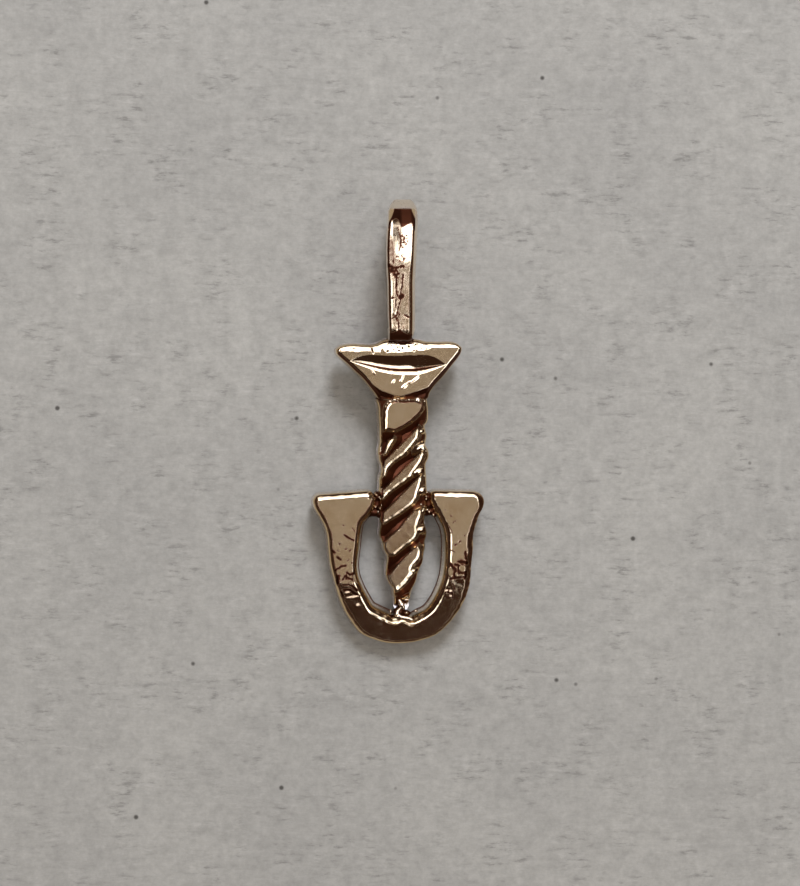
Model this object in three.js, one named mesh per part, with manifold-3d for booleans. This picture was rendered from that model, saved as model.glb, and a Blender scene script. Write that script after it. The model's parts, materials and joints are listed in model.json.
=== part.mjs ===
// A polished yellow-metal charm: a flat wood screw set down through a horseshoe plate,
// with a fixed strap loop on the screw's head to hang it by. It lies face up, the loop
// towards +Y, resting on the back of the loop and on the foot of the plate.
import * as THREE from "three";
import { mergeVertices } from "three/addons/utils/BufferGeometryUtils.js";
import Module from "manifold-3d";

const wasm = await Module();
wasm.setup();

// Horseshoe plate, in millimetres: X is across, Y runs from its foot up to the loop, Z is
// up from the flat back
const plateThickness = 1.3;
const plateWaistWidth = 8.2;
const bowDepth = 4.8;
const armWidth = 1.48;
const bowWidth = 1.3;
const armStraight = 1.6;
const flareHeight = 1.55;
const legEndHeight = 0.72;
const leftLegWidth = 3.35;
const rightLegWidth = 3.1;
const legCornerRadius = 0.32;
const plateEdgeRadius = 0.24;
const outerDraft = 0.17;
const innerDraft = 0.34;
const bowFallAngle = 5;

// Screw shank
const shankWidth = 2.86;
const shankLength = 11.8;
const shankProud = 0.14;
const shankDraft = 0.08;
const shoulderRadius = 0.36;
const taperLength = 6.1;
const pointWidth = 0.64;
const pointHeight = 0.85;
const tipLift = 0.8;

// Thread, cut by hand and so uneven: for each groove, how far its lip is below the neck on
// the screw's middle line and how wide it is across
const threadGrooves = [
  { lip: 1.51, width: 0.8 },
  { lip: 3.28, width: 0.64 },
  { lip: 4.8, width: 0.58 },
  { lip: 6.14, width: 0.88 },
  { lip: 8.6, width: 0.56 },
];
const threadLean = 42;
const grooveSlope = 0.62;
const grooveWallLean = 8;
const threadWaist = 0.09;

// Screw head
const headWidth = 7.0;
const headHeight = 2.9;
const headRimHeight = 0.48;
const headRimLean = 0.22;
const headFootWidth = 2.95;
const headCornerRadius = 0.2;
const headEdgeRadius = 0.3;
const headDraft = 0.14;
const headBevelWidth = 0.52;
const headBevelDrop = 0.13;

// Driver slot, a leaf-shaped pocket across the head
const slotLength = 5.3;
const slotWidth = 1.08;
const slotDepth = 0.4;
const slotWallDraft = 0.2;
const slotFromTop = 1.08;

// Hanging loop, an upright strap ring whose hole runs from side to side
const bailHeight = 8.1;
const bailDepth = 3.6;
const bailBelly = 2.7;
const strapWidth = 1.5;
const strapThickness = 0.72;
const strapEdgeRadius = 0.15;

// Solder, and the seam left beside it on each neighbour
const seamClearance = 0.04;
const neckSolderWidth = 0.16;
const legSolderWidth = 0.22;
const legSolderLength = 1.75;
const solderSink = 0.16;
const tipSolderRadius = 0.54;
const bailSolderHeight = 0.5;
const bailSolderSpread = 0.24;
const bailSeat = 0.17;

// Steps of the curves
const quarterSteps = 12;
const flareSteps = 6;
const cornerSteps = 3;
const edgeSteps = 3;
const bailSteps = 44;
const shankSteps = 44;
const lumpSteps = 14;
const mergeStep = 1e-4;
const toolReach = 30;

// Heights along the charm that the pieces share
const plateMid = plateThickness / 2;
const plateTop = bowDepth + armStraight + flareHeight + legEndHeight;
const shankThickness = plateThickness + shankProud;
const tipY = bowWidth + tipLift;
const neckY = tipY + shankLength;
const headFootY = neckY + neckSolderWidth + headDraft + 2 * seamClearance;
const headTopY = headFootY + headHeight;
const bailFootY = headTopY + bailSeat;

const degrees = THREE.MathUtils.degToRad;

// Closed rings of equal point counts, skinned one to the next. `flat` gives the plane in
// which the two end rings are filled, or is left out for a ring of rings.
function loft(rings, flat) {
  const count = rings[0].length;
  const positions = rings.flat().flatMap((p) => [p.x, p.y, p.z]);
  const faces = [];
  const spans = flat ? rings.length - 1 : rings.length;
  for (let r = 0; r < spans; r++) {
    const below = r * count;
    const above = ((r + 1) % rings.length) * count;
    for (let i = 0; i < count; i++) {
      const next = (i + 1) % count;
      faces.push(below + i, below + next, above + next);
      faces.push(below + i, above + next, above + i);
    }
  }
  if (flat) {
    const last = (rings.length - 1) * count;
    for (const [a, b, c] of THREE.ShapeUtils.triangulateShape(rings[0].map(flat), [])) {
      faces.push(c, b, a);
    }
    for (const [a, b, c] of THREE.ShapeUtils.triangulateShape(rings.at(-1).map(flat), [])) {
      faces.push(last + a, last + b, last + c);
    }
  }
  const geometry = new THREE.BufferGeometry();
  geometry.setAttribute("position", new THREE.Float32BufferAttribute(positions, 3));
  geometry.setIndex(faces);
  return geometry;
}

const inPlan = (p) => new THREE.Vector2(p.x, p.y);
const inSection = (p) => new THREE.Vector2(p.z, p.x);

// Solids for joining and cutting, and back to plain geometry
function solidOf(geometry) {
  const bare = geometry.clone();
  bare.deleteAttribute("normal");
  bare.deleteAttribute("uv");
  const merged = mergeVertices(bare, mergeStep);
  return new wasm.Manifold(
    new wasm.Mesh({
      numProp: 3,
      vertProperties: new Float32Array(merged.attributes.position.array),
      triVerts: new Uint32Array(merged.index.array),
    }),
  );
}

function geometryOf(solid) {
  const made = solid.getMesh();
  const geometry = new THREE.BufferGeometry();
  geometry.setAttribute("position", new THREE.BufferAttribute(made.vertProperties.slice(), 3));
  geometry.setIndex(new THREE.BufferAttribute(made.triVerts.slice(), 1));
  return geometry;
}

// A flat casting: one outline carried up from the back, drawn in by its draft and then
// round its front edge. `outline(grow)` gives the loop grown by an amount.
function casting(outline, thickness, draft, edgeRadius, grow = 0) {
  const raise = (points, z) => points.map((p) => new THREE.Vector3(p.x, p.y, z));
  const rings = [raise(outline(grow + draft), -grow)];
  for (let i = 0; i <= edgeSteps; i++) {
    const turn = (i / edgeSteps) * (Math.PI / 2);
    const inset = edgeRadius * (1 - Math.cos(turn));
    const z = thickness - edgeRadius * (1 - Math.sin(turn)) + grow;
    rings.push(raise(outline(grow - inset), z));
  }
  return solidOf(loft(rings, inPlan));
}

// The points of a drawn line, each curve in its own number of steps
function drawn(line) {
  const points = [];
  for (const curve of line.curves) {
    let steps = curve.isLineCurve ? 1 : cornerSteps;
    if (curve.isCubicBezierCurve) steps = flareSteps;
    if (curve.isEllipseCurve && curve.xRadius > 1) steps = quarterSteps;
    for (const p of curve.getPoints(steps)) {
      if (!points.length || p.distanceTo(points.at(-1)) > mergeStep) points.push(p);
    }
  }
  return points;
}

function mirrored(points) {
  return points.map((p) => new THREE.Vector2(-p.x, p.y)).reverse();
}

// A loop moved outwards along its corners' normals, for outlines without deep hollows
function grown(points, amount) {
  return points.map((p, i) => {
    const before = points.at(i - 1);
    const after = points[(i + 1) % points.length];
    const into = p.clone().sub(before).normalize();
    const away = after.clone().sub(p).normalize();
    const normal = new THREE.Vector2(into.y + away.y, -into.x - away.x).normalize();
    const spread = Math.max(0.5, normal.dot(new THREE.Vector2(into.y, -into.x)));
    return p.clone().addScaledVector(normal, amount / spread);
  });
}

// Each corner of a loop cut back and swept round, by no more than its shorter side allows
function rounded(corners, cut) {
  return corners.flatMap((p, i) => {
    const before = corners.at(i - 1);
    const after = corners[(i + 1) % corners.length];
    const room = 0.4 * Math.min(p.distanceTo(before), p.distanceTo(after));
    const step = Math.min(cut, room);
    const start = p.clone().lerp(before, step / p.distanceTo(before));
    const end = p.clone().lerp(after, step / p.distanceTo(after));
    return new THREE.QuadraticBezierCurve(start, p, end).getPoints(cornerSteps);
  });
}

// A block that planes away what stands over a sloping plane through (0, y, z)
function plane(y, z, angle) {
  const block = new THREE.BoxGeometry(toolReach, toolReach, toolReach);
  block.translate(0, angle < 0 ? toolReach / 2 : -toolReach / 2, toolReach / 2);
  block.rotateX(degrees(angle));
  block.translate(0, y, z);
  return solidOf(block);
}

// Horseshoe plate: two arms that flare into square ends either side of the screw, joined
// by an elliptical bow. One half is drawn from the foot of the bow to the inside again.
function plateHalf(legWidth, grow) {
  const halfWaist = plateWaistWidth / 2;
  const outer = grow;
  const inner = grow > 0 ? (grow * innerDraft) / outerDraft : grow;
  const legInner = shankWidth / 2 + legSolderWidth - grow;
  const legOuter = shankWidth / 2 + legSolderWidth + legWidth + grow;
  const straightTop = bowDepth + armStraight;
  const flareTop = straightTop + flareHeight;
  const top = plateTop + grow;
  const corner = legCornerRadius;
  const half = new THREE.Shape();
  half.moveTo(0, -outer);
  half.absellipse(0, bowDepth, halfWaist + outer, bowDepth + outer, -Math.PI / 2, 0, false, 0);
  half.lineTo(halfWaist + outer, straightTop);
  half.bezierCurveTo(
    halfWaist + outer,
    straightTop + flareHeight / 2,
    legOuter,
    flareTop - flareHeight / 3,
    legOuter,
    flareTop,
  );
  half.lineTo(legOuter, top - corner);
  half.absarc(legOuter - corner, top - corner, corner, 0, Math.PI / 2, false);
  half.lineTo(legInner + corner / 2, top);
  half.absarc(legInner + corner / 2, top - corner / 2, corner / 2, Math.PI / 2, Math.PI, false);
  half.lineTo(legInner, flareTop);
  const innerWaist = halfWaist - armWidth - inner;
  half.bezierCurveTo(
    legInner,
    flareTop - flareHeight / 3,
    innerWaist,
    straightTop + flareHeight / 2,
    innerWaist,
    straightTop,
  );
  half.lineTo(innerWaist, bowDepth);
  half.absellipse(0, bowDepth, innerWaist, bowDepth - bowWidth - inner, 0, -Math.PI / 2, true, 0);
  return half;
}

function plateOutline(grow) {
  const right = drawn(plateHalf(rightLegWidth, grow));
  const left = mirrored(drawn(plateHalf(leftLegWidth, grow)).slice(1, -1));
  return [...right, ...left];
}

function plateSolid(grow) {
  return casting(plateOutline, plateThickness, outerDraft, plateEdgeRadius, grow);
}

function makePlate() {
  return plateSolid(0).subtract(plane(bowDepth - bowWidth, plateThickness, bowFallAngle));
}

// Screw shank: sections across X and Z, set along Y from the point up to the neck. The
// sides are waisted where each groove of the thread runs out over them.
function shankHalfWidth(y) {
  const along = THREE.MathUtils.clamp((y - tipY) / taperLength, 0, 1);
  const swell = Math.sin((along * Math.PI) / 2);
  return THREE.MathUtils.lerp(pointWidth / 2, shankWidth / 2, swell);
}

function shankHeight(y) {
  const along = THREE.MathUtils.clamp((2 * (y - tipY)) / taperLength, 0, 1);
  const swell = Math.sin((along * Math.PI) / 2);
  return THREE.MathUtils.lerp(pointHeight, shankThickness, swell);
}

// How far the sides are drawn in at a height: most in the middle of a groove that runs out
// over the side
function waistAt(y, sideX) {
  const share = threadGrooves.map((groove) => {
    const across = groove.width / Math.cos(degrees(threadLean));
    const middleY = neckY - groove.lip - across / 2 + sideX * Math.tan(degrees(threadLean));
    return Math.max(0, 1 - Math.abs(y - middleY) / across);
  });
  return threadWaist * Math.sin((Math.max(...share) * Math.PI) / 2) ** 2;
}

function shankSection(y, grow) {
  const half = shankHalfWidth(y);
  const height = shankHeight(y) + grow;
  const radius = Math.min(shoulderRadius, half * 0.7);
  const section = [];
  const right = half + grow - waistAt(y, half);
  const left = half + grow - waistAt(y, -half);
  section.push(new THREE.Vector3(right + shankDraft, y, -grow));
  for (let i = 0; i <= cornerSteps; i++) {
    const turn = (i / cornerSteps) * (Math.PI / 2);
    const inset = radius * (1 - Math.cos(turn));
    section.push(new THREE.Vector3(right - inset, y, height - radius * (1 - Math.sin(turn))));
  }
  for (let i = cornerSteps; i >= 0; i--) {
    const turn = (i / cornerSteps) * (Math.PI / 2);
    const inset = radius * (1 - Math.cos(turn));
    section.push(new THREE.Vector3(inset - left, y, height - radius * (1 - Math.sin(turn))));
  }
  section.push(new THREE.Vector3(-left - shankDraft, y, -grow));
  return section.reverse();
}

function shankSolid(grow) {
  const rings = [];
  for (let i = 0; i <= shankSteps; i++) {
    const y = THREE.MathUtils.lerp(tipY - grow, neckY + grow, i / shankSteps);
    rings.push(shankSection(y, grow));
  }
  return solidOf(loft(rings, inSection));
}

// One groove of the thread: a long slope from the lip down towards the point, and a steep
// wall back up to the next turn. `lipY` is where its lip crosses the screw's middle.
function threadGroove(lipY, width, frontZ) {
  const depth = width * grooveSlope;
  const wallBack = depth * Math.tan(degrees(grooveWallLean));
  const profile = new THREE.Shape();
  profile.moveTo(-width, depth);
  profile.lineTo(width, -depth);
  profile.lineTo(width + 2 * wallBack, depth);
  const reach = 2 * shankWidth;
  const cutter = new THREE.ExtrudeGeometry(profile, { depth: reach, bevelEnabled: false });
  cutter.translate(0, 0, -reach / 2);
  cutter.applyMatrix4(
    new THREE.Matrix4().makeBasis(
      new THREE.Vector3(0, -1, 0),
      new THREE.Vector3(0, 0, 1),
      new THREE.Vector3(-1, 0, 0),
    ),
  );
  cutter.rotateZ(degrees(threadLean));
  cutter.translate(0, lipY, frontZ);
  return solidOf(cutter);
}

function makeShank() {
  const cutters = threadGrooves.map(({ lip, width }) => {
    const lipY = neckY - lip;
    return threadGroove(lipY, width, shankHeight(lipY));
  });
  return cutters.reduce((shank, cutter) => shank.subtract(cutter), shankSolid(0));
}

// Screw head seen from the side: a low rim above a cone that narrows to the neck
function headOutline(grow) {
  const half = headWidth / 2;
  const foot = headFootWidth / 2;
  const shoulderY = headTopY - headRimHeight;
  const right = [
    new THREE.Vector2(foot, headFootY),
    new THREE.Vector2(half, shoulderY),
    new THREE.Vector2(half - headRimLean, headTopY),
  ];
  return rounded(grown([...right, ...mirrored(right)], grow), headCornerRadius);
}

function headSolid(grow) {
  return casting(headOutline, plateThickness, headDraft, headEdgeRadius, grow);
}

// The driver slot narrows to a point at both ends and bellies towards the neck
function slotOutline(grow) {
  const half = slotLength / 2 + grow;
  const y = headTopY - slotFromTop;
  const leaf = new THREE.Shape();
  leaf.moveTo(-half, y);
  leaf.quadraticCurveTo(0, y - slotWidth * 1.35 - 2 * grow, half, y);
  leaf.quadraticCurveTo(half * 0.5, y + slotWidth * 0.6 + grow, 0, y + slotWidth * 0.45 + grow);
  leaf.quadraticCurveTo(-half * 0.5, y + slotWidth * 0.6 + grow, -half, y);
  return leaf.getPoints(flareSteps).slice(0, -1);
}

function makeHead() {
  const raise = (points, z) => points.map((p) => new THREE.Vector3(p.x, p.y, z));
  const floor = plateThickness - slotDepth;
  const pocket = loft(
    [raise(slotOutline(-slotWallDraft), floor), raise(slotOutline(slotWallDraft), floor + 2 * slotDepth)],
    inPlan,
  );
  const bevelAngle = (Math.atan2(headBevelDrop, headBevelWidth) * 180) / Math.PI;
  return headSolid(0)
    .subtract(plane(headTopY - headBevelWidth, plateThickness, -bevelAngle))
    .subtract(solidOf(pocket));
}

// Hanging loop: the strap's middle runs round a tall ring in the Y and Z plane, squarer
// below its belly than above
function bailPoint(share, inset) {
  const turn = share * 2 * Math.PI;
  const bellyY = bailFootY + bailBelly;
  const up = Math.cos(turn) > 0;
  const power = up ? 1 : 0.77;
  const reach = (up ? bailHeight - bailBelly : bailBelly) - inset;
  const bulge = (wave) => Math.sign(wave) * Math.abs(wave) ** power;
  const y = bellyY + reach * bulge(Math.cos(turn));
  const z = plateMid + (bailDepth / 2 - inset) * bulge(Math.sin(turn));
  return new THREE.Vector3(0, y, z);
}

function bailSolid(grow) {
  const half = strapWidth / 2 + grow;
  const deep = strapThickness / 2 + grow;
  const round = strapEdgeRadius;
  const section = new THREE.Shape();
  section.moveTo(half, -deep);
  section.lineTo(half, deep - round);
  section.absarc(half - round, deep - round, round, 0, Math.PI / 2, false);
  section.lineTo(round - half, deep);
  section.absarc(round - half, deep - round, round, Math.PI / 2, Math.PI, false);
  section.lineTo(-half, -deep);
  const points = section.getPoints(cornerSteps);
  const rings = [];
  for (let i = 0; i < bailSteps; i++) {
    const share = (i + 0.5) / bailSteps;
    const middle = bailPoint(share, strapThickness / 2);
    const inside = bailPoint(share, strapThickness);
    const outward = middle.clone().sub(inside).normalize();
    rings.push(
      points.map((p) => new THREE.Vector3(p.x, 0, 0).add(middle).addScaledVector(outward, p.y)),
    );
  }
  return solidOf(loft(rings));
}

// Solder lumps, each shaped to its gap and then relieved round the neighbours it joins
function lump(radiusX, radiusY, radiusZ, x, y, z) {
  const ball = new THREE.SphereGeometry(1, 2 * lumpSteps, lumpSteps);
  ball.scale(radiusX, radiusY, radiusZ);
  ball.translate(x, y, z);
  return solidOf(ball);
}

function makeNeckSolder() {
  const width = Math.min(headFootWidth, shankWidth);
  const deep = plateThickness - solderSink;
  const round = Math.min(shoulderRadius, deep / 2 - seamClearance);
  const half = width / 2;
  const section = new THREE.Shape();
  section.moveTo(half, 0);
  section.lineTo(half, deep - round);
  section.absarc(half - round, deep - round, round, 0, Math.PI / 2, false);
  section.lineTo(round - half, deep);
  section.absarc(round - half, deep - round, round, Math.PI / 2, Math.PI, false);
  section.lineTo(-half, 0);
  section.lineTo(half, 0);
  const bead = new THREE.ExtrudeGeometry(section, {
    depth: neckSolderWidth + headDraft,
    bevelEnabled: false,
    curveSegments: cornerSteps,
  });
  bead.rotateX(Math.PI / 2);
  bead.translate(0, headFootY - seamClearance, 0);
  return solidOf(bead).subtract(headSolid(seamClearance));
}

function makeLegSolder(side) {
  const shankSide = shankWidth / 2;
  const top = plateTop - solderSink;
  const foot = plateTop - legSolderLength;
  const outside = shankSide + legSolderWidth + flareHeight / 2;
  const turnY = foot + (outside - shankSide) / 2;
  const web = new THREE.Shape();
  web.moveTo(shankSide / 2, foot);
  web.lineTo(shankSide + legSolderWidth / 2, foot);
  web.quadraticCurveTo(shankSide + legSolderWidth, turnY, outside, turnY);
  web.lineTo(outside, top);
  web.lineTo(shankSide / 2, top);
  const outline = side > 0 ? drawn(web) : mirrored(drawn(web));
  return casting(
    (grow) => grown(outline, grow),
    plateThickness - solderSink,
    0,
    solderSink,
  )
    .subtract(shankSolid(seamClearance))
    .subtract(plateSolid(seamClearance));
}

function makeTipSolder() {
  const low = plateMid * 0.2;
  const ball = lump(
    tipSolderRadius,
    tipSolderRadius + tipLift / 4,
    plateMid - low / 2,
    0,
    tipY - tipLift / 4,
    plateMid - low / 2,
  );
  return ball.subtract(shankSolid(seamClearance)).subtract(plateSolid(seamClearance));
}

function makeBailSolder() {
  const half = strapWidth / 2 + bailSolderSpread;
  const deep = plateMid * 0.8;
  const level = (share) => {
    const spread = 1 - 0.35 * Math.sin((share * Math.PI) / 2);
    const ring = new THREE.EllipseCurve(0, 0, half * spread, deep * spread).getPoints(lumpSteps * 2);
    const y = headTopY + seamClearance + share * bailSolderHeight;
    return ring.slice(0, -1).map((p) => new THREE.Vector3(p.x, y, plateMid + p.y));
  };
  const rings = [];
  for (let i = 0; i <= edgeSteps; i++) rings.push(level(i / edgeSteps));
  const saddle = loft(rings.reverse(), (p) => new THREE.Vector2(p.x, p.z));
  return solidOf(saddle).subtract(bailSolid(seamClearance)).subtract(headSolid(seamClearance));
}

// Polished cast metal, and the solder a shade paler
const castMetal = { color: 0xd9b36a, roughness: 0.16, metalness: 1 };
const strapMetal = { color: 0xdcb876, roughness: 0.26, metalness: 1 };
const solderMetal = { color: 0xe2c58c, roughness: 0.34, metalness: 1 };

const pieces = {
  bail: [bailSolid(0), strapMetal],
  screw_head: [makeHead(), castMetal],
  screw_shank: [makeShank(), castMetal],
  u_plate: [makePlate(), castMetal],
  bail_solder: [makeBailSolder(), solderMetal],
  neck_solder: [makeNeckSolder(), solderMetal],
  left_leg_solder: [makeLegSolder(-1), solderMetal],
  right_leg_solder: [makeLegSolder(1), solderMetal],
  tip_solder: [makeTipSolder(), solderMetal],
};

const charm = new THREE.Group();
for (const [name, [solid, finish]] of Object.entries(pieces)) {
  const mesh = new THREE.Mesh(geometryOf(solid), new THREE.MeshStandardMaterial(finish));
  mesh.name = name;
  charm.add(mesh);
}

// Laid on its back: turned about the foot of the plate until the loop's back touches too,
// then moved so that the middle of its footprint is at the origin
let restTilt = 0;
for (let i = 0; i < bailSteps; i++) {
  const back = bailPoint((i + 0.5) / bailSteps, 0);
  restTilt = Math.max(restTilt, Math.atan2(-back.z, back.y + outerDraft));
}
charm.rotation.x = restTilt;
charm.updateMatrixWorld(true);
const bounds = new THREE.Box3().setFromObject(charm, true);
const middle = bounds.getCenter(new THREE.Vector3());
charm.position.set(-middle.x, -middle.y, -bounds.min.z);

export default charm;
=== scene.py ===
import json
import math

import bmesh
import bpy
import numpy as np
from mathutils import Matrix, Vector, kdtree, noise


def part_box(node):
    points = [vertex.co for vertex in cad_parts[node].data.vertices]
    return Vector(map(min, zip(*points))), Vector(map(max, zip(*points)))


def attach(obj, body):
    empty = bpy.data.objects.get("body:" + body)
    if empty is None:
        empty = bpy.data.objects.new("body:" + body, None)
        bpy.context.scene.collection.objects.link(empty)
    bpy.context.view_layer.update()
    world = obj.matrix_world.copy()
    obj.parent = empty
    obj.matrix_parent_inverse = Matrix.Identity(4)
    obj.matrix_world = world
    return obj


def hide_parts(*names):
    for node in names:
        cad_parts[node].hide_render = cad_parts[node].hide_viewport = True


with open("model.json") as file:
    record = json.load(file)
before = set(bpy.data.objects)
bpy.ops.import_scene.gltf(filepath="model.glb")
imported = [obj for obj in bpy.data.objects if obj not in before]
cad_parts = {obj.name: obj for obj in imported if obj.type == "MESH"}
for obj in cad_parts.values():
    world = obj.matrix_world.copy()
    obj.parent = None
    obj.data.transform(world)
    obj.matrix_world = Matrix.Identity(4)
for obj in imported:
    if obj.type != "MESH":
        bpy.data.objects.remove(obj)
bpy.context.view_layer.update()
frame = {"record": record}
scene = bpy.context.scene
scene.view_settings.view_transform = "Standard"

# How the charm lies
# The charm is drawn flat, in millimetres: x to the right, y towards its loop, z up from the flat
# back. It rests on the plate's foot and the back of the loop, so its head end is a little raised.
MM = 0.001
back_axis = next(m for m in frame["record"]["mounts"] if m["name"] == "plate_back")["axis"]
rise = math.atan2(back_axis[1], -back_axis[2])
plate_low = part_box("u_plate")[0]
plate_left = 5.17
plate_foot = 0.17
lie = Matrix.Translation((
    plate_low.x + plate_left * MM,
    plate_low.y + plate_foot * MM * math.cos(rise),
    plate_low.z + plate_foot * MM * math.sin(rise),
)) @ Matrix.Rotation(rise, 4, "X")


def laid(points):
    """Charm millimetres to metres where the charm lies."""
    turn = np.array(lie.to_3x3())
    return np.asarray(points, float) @ turn.T * MM + np.array(lie.translation)


# Camera
# It looks straight down from 130 mm with a small lean to the left, so the left walls show. Its
# picture is 800 points across, 17.5 of them to a millimetre at the plate's face.
camera_height = 0.13
camera_lean = math.radians(4.3)
film_width = 36
picture_width = 800 / 17.5 * MM
looked_at = Vector(laid((-0.029, 11.474, 1.3)))
away = Vector((-math.sin(camera_lean), 0, math.cos(camera_lean)))
sideways = Vector((math.cos(camera_lean), 0, math.sin(camera_lean)))


def placed(name, data):
    """A new object in the scene."""
    made = bpy.data.objects.new(name, data)
    scene.collection.objects.link(made)
    return made


lens_data = bpy.data.cameras.new("camera")
lens_data.sensor_fit = "HORIZONTAL"
lens_data.sensor_width = film_width
lens_data.lens = film_width * camera_height / picture_width
lens_data.clip_start = 0.005
lens_data.clip_end = 5
camera = placed("camera", lens_data)
facing = Matrix((sideways, Vector((0, 1, 0)), away)).transposed().to_4x4()
camera.matrix_world = Matrix.Translation(looked_at + away * camera_height) @ facing
scene.camera = camera


# Paper, room and lamp
# A sheet of pale, faintly fibrous paper, a dark card overhead with bright windows round it, and
# one soft lamp from above the loop end, a little to the right.
class Nodes:
    """Adds nodes to a tree and links them as they are made. An input is given by its name, with _
    for a space, or by i and its number.
    """

    def __init__(self, tree):
        self.tree = tree

    def add(self, kind, settings=None, **inputs):
        node = self.tree.nodes.new(kind)
        for name, value in (settings or {}).items():
            setattr(node, name, value)
        return self.fill(node, **inputs)

    def fill(self, node, **inputs):
        for name, value in inputs.items():
            numbered = name[0] == "i" and name[1:].isdigit()
            socket = node.inputs[int(name[1:]) if numbered else name.replace("_", " ")]
            if isinstance(value, bpy.types.NodeSocket):
                self.tree.links.new(value, socket)
            else:
                socket.default_value = value
        return node

    def shade(self, **inputs):
        """Fills the shader of a material."""
        self.fill(self.tree.nodes["Principled BSDF"], **inputs)

    def made(self, kind, settings=None, **inputs):
        """The first output of a node that it adds."""
        return self.add(kind, settings, **inputs).outputs[0]

    def math(self, operation, a, b=0):
        return self.made("ShaderNodeMath", {"operation": operation}, i0=a, i1=b)

    def ramp(self, factor, stops):
        node = self.add("ShaderNodeValToRGB", i0=factor)
        marks = node.color_ramp.elements
        while len(marks) < len(stops):
            marks.new(0.5)
        for mark, (place, value) in zip(marks, stops):
            mark.position = place
            mark.color = (*value, 1) if isinstance(value, tuple) else (value, value, value, 1)
        return node.outputs[0]

    def mix(self, factor, a, b, blend="MIX"):
        settings = {"data_type": "RGBA", "blend_type": blend}
        return self.add("ShaderNodeMix", settings, i0=factor, i6=a, i7=b).outputs[2]

    def mix_light(self, factor, a, b):
        return self.made("ShaderNodeMixShader", i0=factor, i1=a, i2=b)

    def speckle(self, place, scale, detail, **inputs):
        kind = "ShaderNodeTexNoise"
        return self.made(kind, Vector=place, Scale=scale, Detail=detail, **inputs)

    def bump(self, strength, depth, height, **under):
        kind = "ShaderNodeBump"
        return self.made(kind, Strength=strength, Distance=depth, Height=height, **under)

    def stored(self, name):
        return self.add("ShaderNodeAttribute", {"attribute_name": name}).outputs["Fac"]


def new_look(name):
    look = bpy.data.materials.new(name)
    look.use_nodes = True
    return look


room = bpy.data.worlds.new("room")
scene.world = room
room.use_nodes = True
room.node_tree.nodes.clear()
sky = Nodes(room.node_tree)
heading = sky.add("ShaderNodeTexCoord").outputs["Generated"]
card_tilt = math.radians(6.6)
overhead = Vector((
    math.sin(camera_lean), -math.sin(card_tilt), math.cos(camera_lean) * math.cos(card_tilt),
)).normalized()
right_hand = Vector((1, 0, 0)).cross(overhead).cross(overhead).normalized() * -1
top_hand = overhead.cross(right_hand)


def along(axis):
    kind = "ShaderNodeVectorMath"
    return sky.add(kind, {"operation": "DOT_PRODUCT"}, i0=heading, i1=axis).outputs["Value"]


from_overhead = sky.math("DIVIDE", sky.math("ARCCOSINE", along(overhead)), math.pi / 2)
round_turn = sky.math("ARCTAN2", along(top_hand), along(right_hand))
round_share = sky.math("FRACT", sky.math("DIVIDE", round_turn, 2 * math.pi))


def by_lean(*stops):
    """Values at degrees away from overhead."""
    return sky.ramp(from_overhead, [(degrees / 90, value) for degrees, value in stops])


def by_turn(*stops):
    """Values at degrees round from the right."""
    return sky.ramp(round_share, [(degrees / 360, value) for degrees, value in stops])


card = by_lean((5.5, 0.33), (10.5, 0.035), (60, 0.03), (80, 0.05), (86, 0.45), (90, 0.5))
windows = by_lean((10, 0), (12, 1), (24, 1), (28, 0))
window_sides = by_turn(
    (0, 0.35), (60, 0.8), (90, 1), (150, 0.9), (180, 0.85), (200, 0.45), (216, 0),
    (292, 0), (305, 0.8), (322, 0.85), (340, 0.5), (360, 0.35),
)
far_wall = sky.math(
    "MULTIPLY",
    by_lean((24, 0), (28, 1), (46, 0.8), (62, 0)),
    by_turn((50, 0), (70, 1), (110, 1), (130, 0)),
)
window_light = 4.5
wall_light = 2.4
glow = sky.math("MULTIPLY", sky.math("MULTIPLY", windows, window_sides), window_light)
glow = sky.math("ADD", card, glow)
glow = sky.math("ADD", glow, sky.math("MULTIPLY", far_wall, wall_light))
dim_to_bright = [(0.03, (1, 0.52, 0.45)), (0.22, (1, 0.93, 0.97)), (1, (0.97, 1.07, 1.42))]
tint = sky.ramp(sky.math("DIVIDE", glow, 1.5), dim_to_bright)
paths = sky.add("ShaderNodeLightPath").outputs
mirrored = sky.made("ShaderNodeBackground", Color=tint, Strength=glow)
soft_light = sky.made("ShaderNodeBackground", Color=(1, 0.91, 0.8, 1), Strength=0.52)
backdrop = sky.made("ShaderNodeBackground", Color=(0.37, 0.356, 0.337, 1), Strength=1)
seen = sky.mix_light(paths["Is Glossy Ray"], soft_light, mirrored)
seen = sky.mix_light(paths["Is Camera Ray"], seen, backdrop)
sky.add("ShaderNodeOutputWorld", Surface=seen)

lamp_data = bpy.data.lights.new("lamp", "AREA")
lamp_data.shape = "DISK"
lamp_data.size = 0.13
lamp_data.energy = 1.13
lamp_data.color = (0.97, 1, 1.04)
lamp = placed("lamp", lamp_data)
lamp.location = (0.045, 0.3, 0.22)
lamp.rotation_euler = lamp.location.to_track_quat("Z", "Y").to_euler()
lamp.visible_glossy = False

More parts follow.
